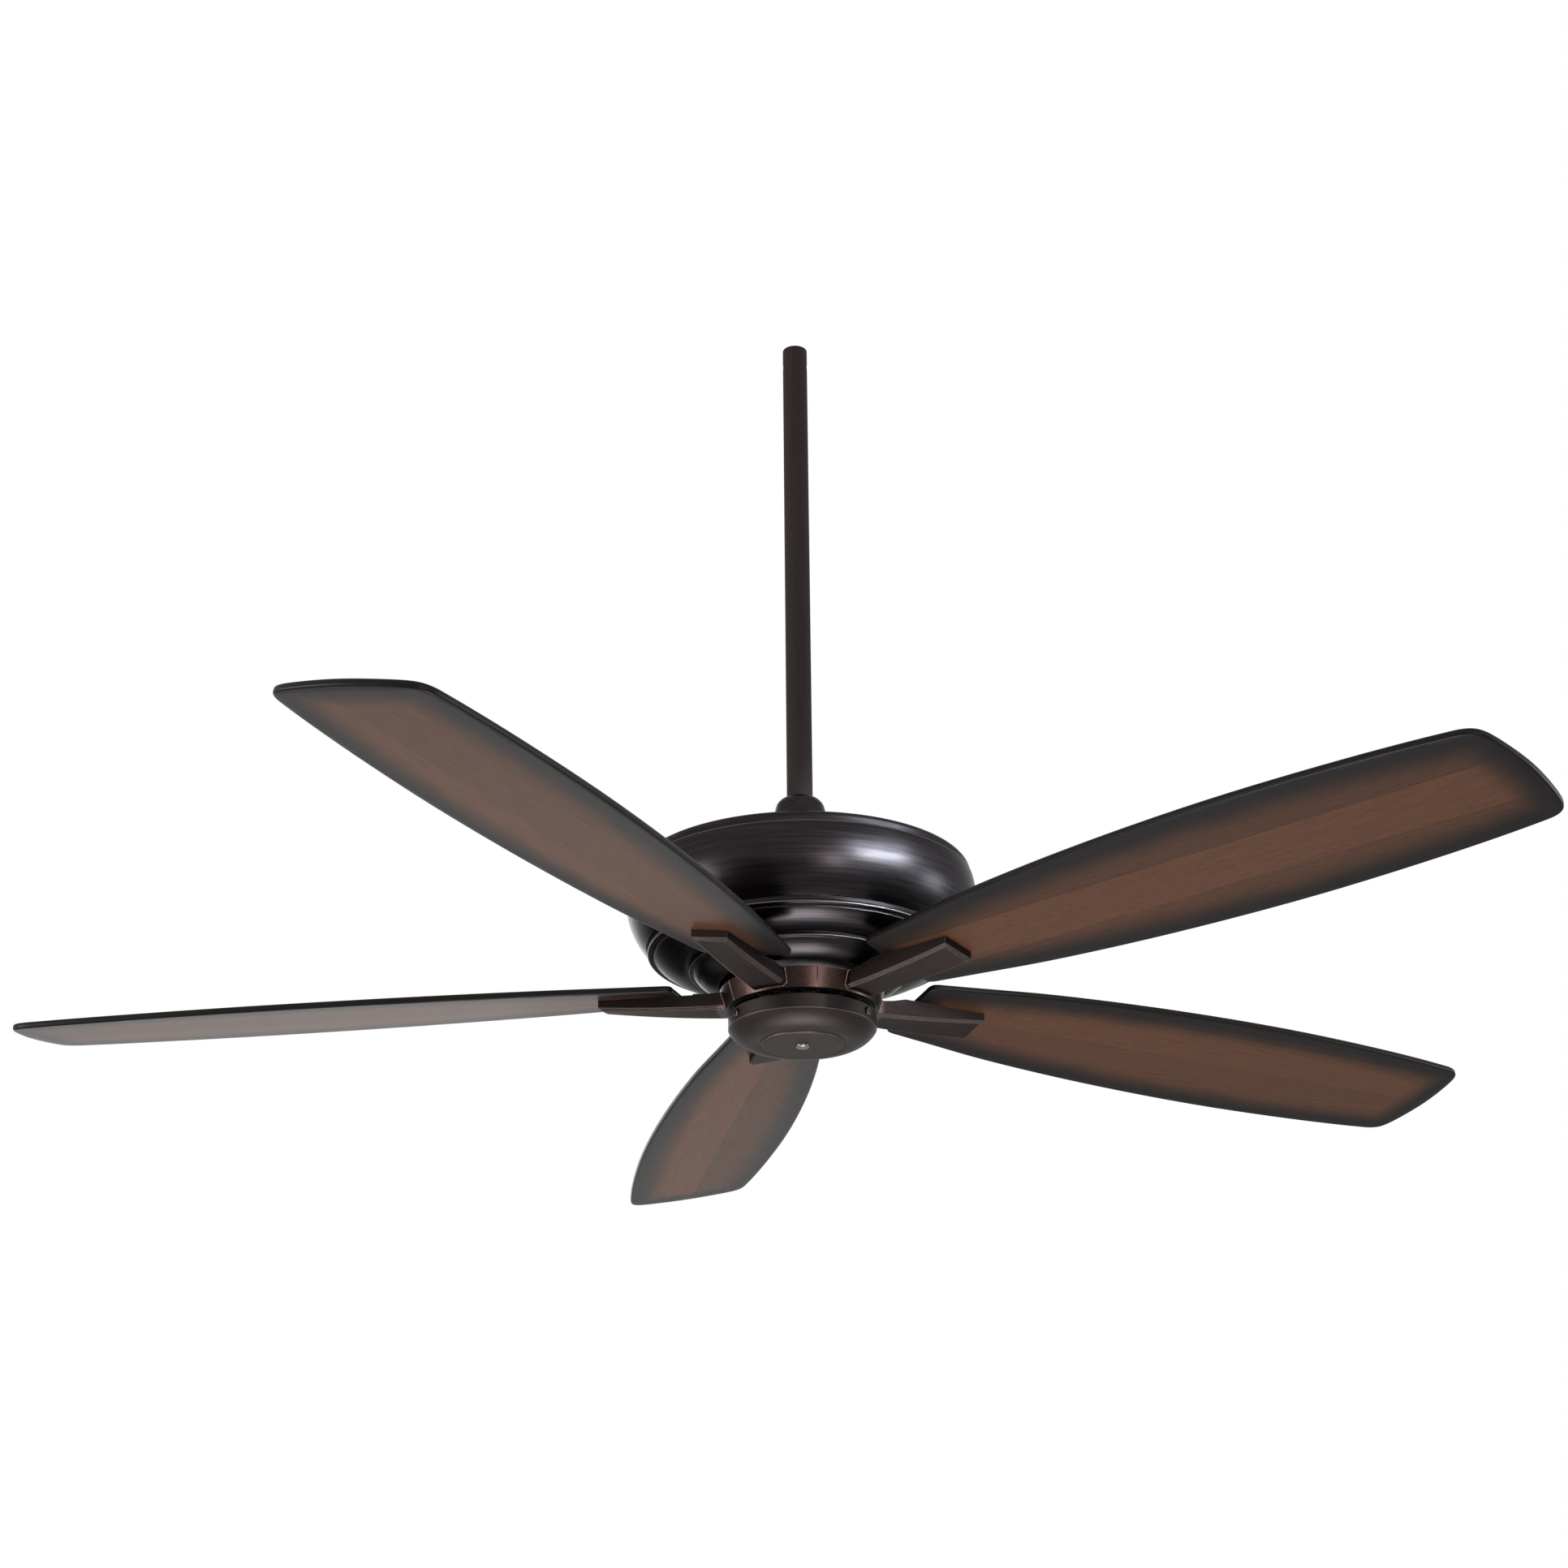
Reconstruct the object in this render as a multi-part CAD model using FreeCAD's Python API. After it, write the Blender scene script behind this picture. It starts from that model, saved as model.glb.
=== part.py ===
import FreeCAD, Part
import math
import os

from FreeCAD import Placement, Rotation, Vector

os.makedirs("parts", exist_ok=True)

# Ceiling fan hung on a rod. Millimetres, +Z up, origin on the rod's axis at the
# cross hole in its top end, where a hanger pin carries the whole fan.

# Fits and stock shared by many pieces
overrun = 1.0
press_clearance = 0.02
slip_clearance = 0.1
thread_clearance = 0.05
hole_clearance = 0.3
race_clearance = 0.1
sheet = 1.5
corner_share = 1 - math.sqrt(0.5)

# Screws: a small size for covers and a large size for what carries the blades
small_screw_radius = 2.0
large_screw_radius = 2.5
head_radius_share = 1.9
head_height_share = 1.1
recess_width_share = 0.36
recess_length_share = 2.2
recess_depth_share = 0.55

# Hanging rod
rod_radius = 12.7
rod_wall = 2.2
rod_length = 561.0
hanger_hole_radius = 3.4
hanger_hole_drop = 19.0

# Coupling that joins the rod to the motor shaft
coupling_wall = 6.2
rod_grip = 34.0
coupling_stem = 33.5
coupling_flange_radius = 33.0
coupling_flange_height = 5.0
coupling_screw_count = 3
coupling_screw_circle = 26.0
coupling_screw_length = 10.0
coupling_first_angle = 90.0
clevis_pin_radius = 3.175
clevis_pin_rise = 14.0
clevis_head_radius = 5.0
clevis_head_height = 2.5
clevis_tail = 5.0
cotter_radius = 0.9
cotter_leg = 16.0
set_screw_rise = 26.0
set_screw_count = 2
set_screw_length = 7.0

# Bell cover over the coupling
bell_wall = 1.2
bell_mouth_gap = 0.5
bell_base_radius = 40.0
bell_height = 79.5
bell_radius_shares = (0.79, 0.61, 0.505)
bell_height_shares = (0.48, 0.85, 0.955)

# Top cover of the motor housing
cover_set_back = 2.5
cover_height = 10.5
cover_edge = 5.0
cover_shaft_hole = 12.0
vent_count = 20
vent_radius = 110.0
vent_length = 34.0
vent_width = 5.0
cover_screw_count = 4
cover_screw_inset = 12.0
cover_screw_length = 8.0
cover_first_angle = 45.0
post_radius = 5.0

# Bowl of the motor housing, stepping down in tiers to its lip
bowl_rim_radius = 166.0
bowl_waist_radius = 168.0
bowl_waist_drop = 16.0
bowl_foot_radius = 148.0
bowl_height = 66.0
rim_edge = 1.2
rim_flange_width = 22.0
upper_step_height = 7.4
upper_step_width = 6.0
upper_tier_height = 12.1
upper_tier_foot_radius = 107.5
upper_tier_bulge = 3.8
lower_step_height = 4.5
lower_step_width = 4.0
lower_tier_height = 13.0
lip_radius = 80.0
lower_tier_bulge = 2.8
step_ledge_share = 0.4
step_bead_share = 0.5
bead_bulge = 1.3

# Bracket that fixes the shaft and the coupling to the top cover
bracket_radius = 70.0
bracket_height = 4.0
bracket_boss_wall = 8.5
bracket_boss_height = 11.0

# Motor: a wound stator on a fixed hollow shaft, with the rotor turning round it
shaft_radius = 8.5
shaft_wall = 1.9
shaft_end_gap = 2.0
motor_drop = 52.5
stator_radius = 71.6
stator_height = 22.0
stator_hub_radius = 40.0
tooth_count = 12
tooth_width = 10.0
tooth_shoe_height = 5.0
slot_mouth = 3.0
coil_thickness = 4.5
coil_length = 20.0
coil_clearance = 0.1
air_gap = 0.4
rotor_ring_width = 30.0
rotor_ring_height = 24.0
shell_wall = 4.0
shell_inside_height = 40.0
shell_shoulder = 6.0
shell_ear_width = 11.0
shell_ear_height = 8.0
shell_screw_count = 6
shell_screw_length = 14.0
neck_radius = 54.0
neck_wall = 12.0

# Ball bearings of the rotor
bearing_radius = 20.0
bearing_width = 12.0
race_wall = 3.8
ball_radius = 2.7
ball_count = 8
bearing_boss_wall = 5.0
bearing_lip = 2.0
bearing_lip_width = 2.5

# Hub plate under the motor
lip_gap = 6.0
hub_inset = 2.0
hub_height = 10.0
hub_gap = 1.0
hub_bore_radius = 30.0
hub_screw_length = 22.0

# Blade arms, each with a heel that closes a fifth of a ring
blade_count = 5
first_azimuth = 28.9
heel_top_radius = 78.0
heel_foot_radius = 72.0
heel_height = 19.5
heel_rise = 5.0
heel_wall = 5.0
heel_seam = 0.5
arm_root_inset = 2.0
arm_half_width = 18.0
arm_end_radius = 193.0
arm_end_height = 9.4
arm_root_rise = 2.5
arm_top_drop = 1.0
arm_waist_dip = 1.8
arm_step_count = 2
arm_step_height = 1.2
arm_step_width = 1.5
arm_station_count = 12
arm_rise_power = 1.7
arm_seat_share = 0.38
foot_height = 5.0
foot_inner_radius = 40.0
arm_screw_circle = 54.0
arm_screw_spread = 10.0
arm_screw_length = 13.0

# Blades
blade_pitch = 10.8
blade_droop = 0.6
blade_rise = 9.5
blade_thickness = 6.0
blade_root_radius = 118.0
blade_tip_radius = 764.0
blade_half_width = 84.0
blade_edge = 2.0
blade_length_shares = (0, 0, 0, 0, 0.003, 0.0095, 0.03, 0.08, 0.2, 0.4,
                       0.62, 0.82, 0.94, 0.97, 0.982, 0.989, 0.996, 1)
blade_width_shares = (0, 0.2, 0.4, 0.475, 0.53, 0.556, 0.585, 0.65, 0.8, 0.945,
                      1, 0.945, 0.863, 0.825, 0.77, 0.68, 0.41, 0)
seat_lead = 16.0
blade_screw_length = 13.0
blade_washer_radius = 6.5
blade_washer_height = 1.2
blade_screw_inset = 24.0
blade_screw_row = 32.0
blade_screw_spread = 9.0

# Cap under the hub, with the plate that holds it and the parts inside
cap_gap = 4.5
cap_radius = 70.0
cap_rim_height = 13.5
cap_dome_height = 12.8
cap_dome_foot_radius = 40.0
cap_dome_shares = (0.68, 0.74)
cap_groove_width = 0.6
cap_groove_depth = 0.4
cap_disc_edge = 2.0
cap_disc_height = 2.6
cap_screw_count = 3
cap_screw_drop = 6.5
cap_screw_length = 5.0
cap_first_angle = 90.0
plug_radius = 6.4
plug_head_height = 2.2
plug_dome_share = 0.9
plug_stem_wall = 0.5
plug_stem_length = 4.0
plate_height = 2.0
plate_inset = 0.5
plate_fit = 0.4
plate_skirt_wall = 2.0
nut_sides = 6
nut_radius = 13.0
nut_height = 6.0
washer_radius = 15.0
washer_height = 1.5
shaft_tail = 3.0
capacitor_length = 46.0
capacitor_width = 20.0
capacitor_height = 13.0
capacitor_corner = 2.5
capacitor_offset = 36.0

# Supply wires that run inside the rod and the shaft
wire_radius = 1.2
wire_clearance = 0.3
wire_pitch = 3.0
wire_end_gap = 5.0

# Levels, worked down from the hanger hole
rod_top = hanger_hole_drop
rod_foot = rod_top - rod_length
rod_bore = rod_radius - rod_wall
coupling_radius = rod_radius + coupling_wall
coupling_top = rod_foot + rod_grip
clevis_level = rod_foot + clevis_pin_rise
set_screw_level = rod_foot + set_screw_rise
housing_top = rod_foot - coupling_stem
cover_foot = housing_top - cover_height
cover_radius = bowl_rim_radius - cover_set_back
bracket_top = housing_top - sheet
bracket_foot = bracket_top - bracket_height
bowl_foot = cover_foot - bowl_height
upper_tier_top = bowl_foot - upper_step_height
upper_tier_foot = upper_tier_top - upper_tier_height
lower_tier_top = upper_tier_foot - lower_step_height
lip_level = lower_tier_top - lower_tier_height
motor_level = housing_top - motor_drop
shell_half = shell_inside_height / 2
ring_half = rotor_ring_height / 2
ring_outer_radius = stator_radius + air_gap + rotor_ring_width
shell_radius = ring_outer_radius + shell_wall
neck_top = motor_level - shell_half - shell_wall
heel_top = lip_level - lip_gap
heel_foot = heel_top - heel_height
hub_top = heel_top - hub_inset
hub_foot = hub_top - hub_height
hub_radius = heel_foot_radius - heel_wall - hub_gap
hub_screw_circle = neck_radius - neck_wall / 2
foot_level = hub_foot - foot_height
blade_level = heel_top - heel_rise
cap_top = heel_foot - cap_gap
cap_rim_foot = cap_top - cap_rim_height
cap_dome_foot = cap_rim_foot - cap_dome_height
cap_disc_level = cap_dome_foot + cap_groove_depth - cap_disc_height
plate_top = cap_top - plate_inset
plate_foot = plate_top - plate_height
plate_radius = cap_radius - sheet - plate_fit
shaft_top = rod_foot - shaft_end_gap
shaft_bore = shaft_radius - shaft_wall
shaft_foot = plate_foot - washer_height - nut_height - shaft_tail
blade_angles = [first_azimuth + k * 360 / blade_count for k in range(blade_count)]
seam_angles = [angle + 180 / blade_count for angle in blade_angles]

axis_foot = Vector(0, 0, 0)
up = Vector(0, 0, 1)
along_x = Vector(1, 0, 0)
along_y = Vector(0, 1, 0)


def save(shape, node):
    shape.exportStep("parts/" + node + ".step")


def profile_point(radius, level):
    return Vector(radius, 0, level)


def disc(radius, low, high):
    return Part.makeCylinder(radius, high - low, Vector(0, 0, low))


def tube(inner, outer, low, high):
    return disc(outer, low, high).cut(disc(inner, low - overrun, high + overrun))


def block(length, width, height, centre):
    corner = centre - Vector(length / 2, width / 2, height / 2)
    return Part.makeBox(length, width, height, corner)


def peg(radius, length, start, direction):
    return Part.makeCylinder(radius, length, start, direction)


def turned_to(shape, angle):
    copy = shape.copy()
    copy.rotate(axis_foot, up, angle)
    return copy


def spread(shape, angles):
    return [turned_to(shape, angle) for angle in angles]


def even_angles(count, start):
    return [start + k * 360 / count for k in range(count)]


def path(start, steps):
    # A step is the end of a line, or a pair: a point on an arc and the arc's end.
    edges = []
    here = start
    for step in steps:
        if isinstance(step, tuple):
            via, there = step
            edges.append(Part.Arc(here, via, there).toShape())
        else:
            there = step
            edges.append(Part.LineSegment(here, there).toShape())
        here = there
    return edges


def turned(edges):
    face = Part.Face(Part.Wire(edges))
    return face.revolve(axis_foot, up, 360)


def screw(radius, length, seat, direction):
    # Pan head screw with a cross recess; its head stands off the seat along direction.
    head_radius = radius * head_radius_share
    head_height = radius * head_height_share
    head = disc(head_radius, 0, head_height)
    head = head.makeFillet(head_height / 2, [head.Edges[0]])
    recess_depth = head_height * recess_depth_share
    recess_length = radius * recess_length_share
    recess_width = radius * recess_width_share
    recess_centre = Vector(0, 0, head_height)
    for size_x, size_y in ((recess_length, recess_width), (recess_width, recess_length)):
        head = head.cut(block(size_x, size_y, recess_depth * 2, recess_centre))
    whole = head.fuse(disc(radius, -length, 0)).removeSplitter()
    whole.Placement = Placement(seat, Rotation(up, direction))
    return whole


def make_rod():
    rod = tube(rod_bore, rod_radius, rod_foot, rod_top)
    across = rod_radius + overrun
    for radius, level in ((hanger_hole_radius, 0), (clevis_pin_radius + slip_clearance, clevis_level)):
        rod = rod.cut(peg(radius, across * 2, Vector(-across, 0, level), along_x))
    save(rod, "downrod")


def make_coupling():
    body = disc(coupling_radius, housing_top, coupling_top)
    body = body.fuse(disc(coupling_flange_radius, housing_top, housing_top + coupling_flange_height))
    body = body.cut(disc(rod_radius + slip_clearance, rod_foot, coupling_top + overrun))
    body = body.cut(disc(shaft_radius + thread_clearance, housing_top - overrun, rod_foot + overrun))
    across = coupling_radius + overrun
    pin_hole = clevis_pin_radius + slip_clearance
    body = body.cut(peg(pin_hole, across * 2, Vector(-across, 0, clevis_level), along_x))
    set_hole = small_screw_radius + thread_clearance
    body = body.cut(peg(set_hole, across * 2, Vector(0, -across, set_screw_level), along_y))
    screw_hole = peg(large_screw_radius + hole_clearance, coupling_flange_height + 2 * overrun,
                     Vector(coupling_screw_circle, 0, housing_top - overrun), up)
    for hole in spread(screw_hole, even_angles(coupling_screw_count, coupling_first_angle)):
        body = body.cut(hole)
    save(body.removeSplitter(), "hanger_coupling")


def make_coupling_fasteners():
    half = coupling_radius + slip_clearance
    pin = peg(clevis_pin_radius, half * 2 + clevis_tail, Vector(-half, 0, clevis_level), along_x)
    pin = pin.fuse(peg(clevis_head_radius, clevis_head_height, Vector(-half, 0, clevis_level), -along_x))
    cotter_x = half + clevis_tail / 2
    hole_reach = clevis_pin_radius + overrun
    cotter_hole = cotter_radius + slip_clearance
    pin = pin.cut(peg(cotter_hole, hole_reach * 2, Vector(cotter_x, 0, clevis_level - hole_reach), up))
    save(pin.removeSplitter(), "clevis_pin")

    # Hairpin cotter: one leg through the pin's tail, the other along its side
    gap = clevis_pin_radius + cotter_radius + slip_clearance
    low = clevis_level - cotter_leg / 2
    high = clevis_level + cotter_leg / 2
    bend = gap / 2
    legs = path(Vector(cotter_x, 0, high), [
        Vector(cotter_x, 0, low),
        (Vector(cotter_x, -bend, low - bend), Vector(cotter_x, -gap, low)),
        Vector(cotter_x, -gap, high),
    ])
    section = Part.Wire(Part.makeCircle(cotter_radius, Vector(cotter_x, 0, high), up))
    save(Part.Wire(legs).makePipeShell([section], True, True), "cotter_pin")

    set_screws = []
    for angle in even_angles(set_screw_count, coupling_first_angle):
        grub = peg(small_screw_radius, set_screw_length, Vector(rod_radius, 0, set_screw_level), along_x)
        slot_centre = Vector(rod_radius + set_screw_length, 0, set_screw_level)
        slot_width = small_screw_radius * recess_width_share
        grub = grub.cut(block(small_screw_radius, small_screw_radius * 2 + overrun, slot_width, slot_centre))
        set_screws.append(turned_to(grub, angle))
    save(Part.makeCompound(set_screws), "coupling_set_screws")

    seat = Vector(coupling_screw_circle, 0, housing_top + coupling_flange_height)
    flange_screw = screw(large_screw_radius, coupling_screw_length, seat, up)
    screws = spread(flange_screw, even_angles(coupling_screw_count, coupling_first_angle))
    save(Part.makeCompound(screws), "coupling_screws")


def make_bell_cover():
    mouth = rod_radius + bell_mouth_gap
    waist, shoulder, crown = [bell_base_radius * share for share in bell_radius_shares]
    waist_rise, shoulder_rise, crown_rise = [bell_height * share for share in bell_height_shares]
    top = housing_top + bell_height
    edges = path(profile_point(bell_base_radius, housing_top), [
        (profile_point(waist, housing_top + waist_rise),
         profile_point(shoulder, housing_top + shoulder_rise)),
        (profile_point(crown, housing_top + crown_rise), profile_point(mouth, top)),
        profile_point(mouth, top - bell_wall),
        (profile_point(crown - bell_wall, housing_top + crown_rise - bell_wall),
         profile_point(shoulder - bell_wall, housing_top + shoulder_rise - bell_wall)),
        (profile_point(waist - bell_wall, housing_top + waist_rise - bell_wall),
         profile_point(bell_base_radius - bell_wall, housing_top)),
        profile_point(bell_base_radius, housing_top),
    ])
    save(turned(edges), "coupling_cover")


def make_top_cover():
    flat = cover_radius - cover_edge
    inner = cover_radius - sheet
    corner = cover_edge * corner_share
    inner_flat = flat - sheet / 2
    inner_corner = corner + sheet / 2
    edges = path(profile_point(cover_shaft_hole, housing_top), [
        profile_point(flat, housing_top),
        (profile_point(cover_radius - corner, housing_top - corner),
         profile_point(cover_radius, housing_top - cover_edge)),
        profile_point(cover_radius, cover_foot),
        profile_point(inner, cover_foot),
        profile_point(inner, housing_top - cover_edge),
        (profile_point(cover_radius - corner - sheet, housing_top - inner_corner - sheet / 2),
         profile_point(inner_flat, housing_top - sheet)),
        profile_point(cover_shaft_hole, housing_top - sheet),
        profile_point(cover_shaft_hole, housing_top),
    ])
    cover = turned(edges)
    through = sheet + 2 * overrun
    cut_level = housing_top - sheet - overrun
    straight = vent_length - vent_width
    vent = block(straight, vent_width, through, Vector(vent_radius, 0, cut_level + through / 2))
    for end in (-1, 1):
        round_end = Vector(vent_radius + end * straight / 2, 0, cut_level)
        vent = vent.fuse(peg(vent_width / 2, through, round_end, up))
    tools = spread(vent.removeSplitter(), even_angles(vent_count, 0))
    flange_hole = peg(large_screw_radius + hole_clearance, through,
                      Vector(coupling_screw_circle, 0, cut_level), up)
    tools += spread(flange_hole, even_angles(coupling_screw_count, coupling_first_angle))
    rim_hole = peg(small_screw_radius + hole_clearance, through,
                   Vector(cover_radius - cover_screw_inset, 0, cut_level), up)
    tools += spread(rim_hole, even_angles(cover_screw_count, cover_first_angle))
    save(cover.cut(tools), "top_cover")


def housing_step(top_radius, top, width, height):
    # A ledge and a rounded bead between one tier of the housing and the next
    wall = top_radius - width * step_ledge_share
    foot = top - height
    bead_top = foot + height * step_bead_share
    bead_middle = (bead_top + foot) / 2
    return [
        profile_point(wall, top),
        profile_point(wall, bead_top),
        (profile_point(wall + bead_bulge, bead_middle), profile_point(wall, foot)),
        profile_point(top_radius - width, foot),
    ]


def tier_middle(top_radius, top, foot_radius, foot, bulge):
    run = top_radius - foot_radius
    fall = top - foot
    slant = math.hypot(run, fall)
    middle_radius = (top_radius + foot_radius) / 2 + bulge * fall / slant
    middle_level = (top + foot) / 2 - bulge * run / slant
    return profile_point(middle_radius, middle_level)


def make_motor_housing():
    flange_radius = bowl_rim_radius - rim_flange_width
    waist = cover_foot - bowl_waist_drop
    rim_corner = rim_edge * corner_share
    upper_top_radius = bowl_foot_radius - upper_step_width
    lower_top_radius = upper_tier_foot_radius - lower_step_width
    upper_middle = tier_middle(upper_top_radius, upper_tier_top, upper_tier_foot_radius,
                               upper_tier_foot, upper_tier_bulge)
    lower_middle = tier_middle(lower_top_radius, lower_tier_top, lip_radius, lip_level, lower_tier_bulge)
    thick = Vector(0, 0, sheet)
    upper_wall = bowl_foot_radius - upper_step_width * step_ledge_share - sheet
    lower_wall = upper_tier_foot_radius - lower_step_width * step_ledge_share - sheet
    steps = [
        profile_point(bowl_rim_radius - rim_edge, cover_foot),
        (profile_point(bowl_rim_radius - rim_corner, cover_foot - rim_corner),
         profile_point(bowl_rim_radius, cover_foot - rim_edge)),
        (profile_point(bowl_waist_radius, waist), profile_point(bowl_foot_radius, bowl_foot)),
    ]
    steps += housing_step(bowl_foot_radius, bowl_foot, upper_step_width, upper_step_height)
    steps.append((upper_middle, profile_point(upper_tier_foot_radius, upper_tier_foot)))
    steps += housing_step(upper_tier_foot_radius, upper_tier_foot, lower_step_width, lower_step_height)
    steps.append((lower_middle, profile_point(lip_radius, lip_level)))
    steps += [
        profile_point(lip_radius - sheet, lip_level),
        profile_point(lip_radius - sheet, lip_level + sheet),
        (lower_middle + thick, profile_point(lower_wall, lower_tier_top + sheet)),
        profile_point(lower_wall, upper_tier_foot + sheet),
        (upper_middle + thick, profile_point(upper_wall, upper_tier_top + sheet)),
        profile_point(upper_wall, bowl_foot + sheet),
        profile_point(bowl_foot_radius - sheet, bowl_foot + sheet),
        (profile_point(bowl_waist_radius - sheet, waist),
         profile_point(bowl_rim_radius - sheet, cover_foot - sheet)),
        profile_point(flange_radius, cover_foot - sheet),
        profile_point(flange_radius, cover_foot),
    ]
    bowl = turned(path(profile_point(flange_radius, cover_foot), steps))
    post_height = cover_height - sheet
    post_place = Vector(cover_radius - cover_screw_inset, 0, cover_foot)
    post = peg(post_radius, post_height, post_place, up)
    tap = peg(small_screw_radius + thread_clearance, post_height + sheet + 2 * overrun,
              post_place - Vector(0, 0, sheet + overrun), up)
    angles = even_angles(cover_screw_count, cover_first_angle)
    bowl = bowl.fuse(spread(post, angles)).cut(spread(tap, angles))
    save(bowl.removeSplitter(), "motor_housing")
    seat = Vector(cover_radius - cover_screw_inset, 0, housing_top)
    cover_screw = screw(small_screw_radius, cover_screw_length, seat, up)
    save(Part.makeCompound(spread(cover_screw, angles)), "housing_screws")


def make_motor_bracket():
    boss_radius = shaft_radius + bracket_boss_wall
    bracket = disc(bracket_radius, bracket_foot, bracket_top)
    bracket = bracket.fuse(disc(boss_radius, bracket_foot - bracket_boss_height, bracket_top))
    bore = disc(shaft_radius + thread_clearance, bracket_foot - bracket_boss_height - overrun,
                bracket_top + overrun)
    tap = peg(large_screw_radius + thread_clearance, bracket_height + 2 * overrun,
              Vector(coupling_screw_circle, 0, bracket_foot - overrun), up)
    bracket = bracket.cut([bore] + spread(tap, even_angles(coupling_screw_count, coupling_first_angle)))
    save(bracket.removeSplitter(), "motor_bracket")


def make_shaft():
    save(tube(shaft_bore, shaft_radius, shaft_foot, shaft_top), "motor_shaft")


def make_stator():
    low = motor_level - stator_height / 2
    high = motor_level + stator_height / 2
    shoe_inner = stator_radius - tooth_shoe_height
    tooth_reach = (stator_hub_radius + shoe_inner) / 2
    tooth_span = shoe_inner - stator_hub_radius + tooth_shoe_height
    tooth = block(tooth_span, tooth_width, stator_height, Vector(tooth_reach, 0, motor_level))
    mouth_span = tooth_shoe_height + 2 * overrun
    mouth = block(mouth_span, slot_mouth, stator_height + 2 * overrun,
                  Vector(stator_radius - tooth_shoe_height / 2, 0, motor_level))
    teeth = even_angles(tooth_count, 0)
    gaps = even_angles(tooth_count, 180 / tooth_count)
    shoes = tube(shoe_inner, stator_radius, low, high).cut(spread(mouth, gaps))
    core = disc(stator_hub_radius, low, high).fuse(spread(tooth, teeth) + [shoes])
    core = core.cut(disc(shaft_radius + press_clearance, low - overrun, high + overrun))
    save(core.removeSplitter(), "stator_core")

    side = coil_thickness * 2
    hollow = coil_clearance * 2
    centre = Vector(tooth_reach, 0, motor_level)
    coil = block(coil_length, tooth_width + side, stator_height + side, centre)
    coil = coil.cut(block(coil_length + 2 * overrun, tooth_width + hollow, stator_height + hollow, centre))
    save(Part.makeCompound(spread(coil, teeth)), "stator_windings")


def make_rotor_shell(node, facing):
    # Half of the rotor's case: facing is 1 for the upper half and -1 for the lower half
    def level(rise):
        return motor_level + facing * rise

    outside = shell_half + shell_wall
    seat_top = shell_half + bearing_width
    lip_top = seat_top + bearing_lip
    boss_radius = bearing_radius + bearing_boss_wall
    seat_radius = bearing_radius + press_clearance
    bore_radius = ring_outer_radius + press_clearance
    edges = path(profile_point(bore_radius, level(0)), [
        profile_point(shell_radius, level(0)),
        profile_point(shell_radius, level(outside - shell_wall)),
        profile_point(shell_radius - shell_wall, level(outside)),
        profile_point(boss_radius, level(outside)),
        profile_point(boss_radius, level(lip_top)),
        profile_point(bearing_radius - bearing_lip_width, level(lip_top)),
        profile_point(bearing_radius - bearing_lip_width, level(seat_top)),
        profile_point(seat_radius, level(seat_top)),
        profile_point(seat_radius, level(shell_half)),
        profile_point(ring_outer_radius - shell_shoulder, level(shell_half)),
        profile_point(ring_outer_radius - shell_shoulder, level(ring_half)),
        profile_point(bore_radius, level(ring_half)),
        profile_point(bore_radius, level(0)),
    ])
    shell = turned(edges)
    ear_middle = motor_level + facing * shell_ear_height / 2
    ear_reach = shell_wall + shell_ear_width
    ear_centre = Vector(shell_radius - shell_wall + ear_reach / 2, 0, ear_middle)
    ear = block(ear_reach, shell_ear_width * 2, shell_ear_height, ear_centre)
    ear = ear.cut(disc(bore_radius, motor_level - shell_inside_height, motor_level + shell_inside_height))
    fit = hole_clearance if facing > 0 else thread_clearance
    hole = peg(large_screw_radius + fit, shell_ear_height + 2 * overrun,
               Vector(shell_radius + shell_ear_width / 2, 0, ear_middle - shell_ear_height / 2 - overrun), up)
    angles = even_angles(shell_screw_count, 0)
    shell = shell.fuse(spread(ear, angles)).cut(spread(hole, angles))
    if facing < 0:
        shell = shell.fuse(tube(neck_radius - neck_wall, neck_radius, hub_top, neck_top))
        tap = peg(large_screw_radius + thread_clearance, hub_screw_length,
                  Vector(hub_screw_circle, 0, hub_top - overrun), up)
        shell = shell.cut(spread(tap, seam_angles))
    save(shell.removeSplitter(), node)


def make_rotor():
    make_rotor_shell("rotor_upper_shell", 1)
    make_rotor_shell("rotor_lower_shell", -1)
    ring = tube(stator_radius + air_gap, ring_outer_radius, motor_level - ring_half, motor_level + ring_half)
    save(ring, "rotor_ring")
    seat = Vector(shell_radius + shell_ear_width / 2, 0, motor_level + shell_ear_height)
    shell_screw = screw(large_screw_radius, shell_screw_length, seat, up)
    save(Part.makeCompound(spread(shell_screw, even_angles(shell_screw_count, 0))), "rotor_shell_screws")


def make_bearings():
    inner_outside = shaft_radius + race_wall
    outer_inside = bearing_radius - race_wall
    ball_circle = (inner_outside + outer_inside) / 2
    inner_races = []
    outer_races = []
    balls = []
    for side in (1, -1):
        middle = motor_level + side * (shell_half + bearing_width / 2)
        low = middle - bearing_width / 2
        high = middle + bearing_width / 2
        groove = Part.makeTorus(ball_circle, ball_radius + race_clearance, Vector(0, 0, middle))
        inner_races.append(tube(shaft_radius + press_clearance, inner_outside, low, high).cut(groove))
        outer_races.append(tube(outer_inside, bearing_radius, low, high).cut(groove))
        ball = Part.makeSphere(ball_radius, Vector(ball_circle, 0, middle))
        balls += spread(ball, even_angles(ball_count, 0))
    save(Part.makeCompound(inner_races), "bearing_inner_races")
    save(Part.makeCompound(outer_races), "bearing_outer_races")
    save(Part.makeCompound(balls), "bearing_balls")


def arm_screw_places():
    return [Vector(arm_screw_circle, side * arm_screw_spread, 0) for side in (-1, 1)]


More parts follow.
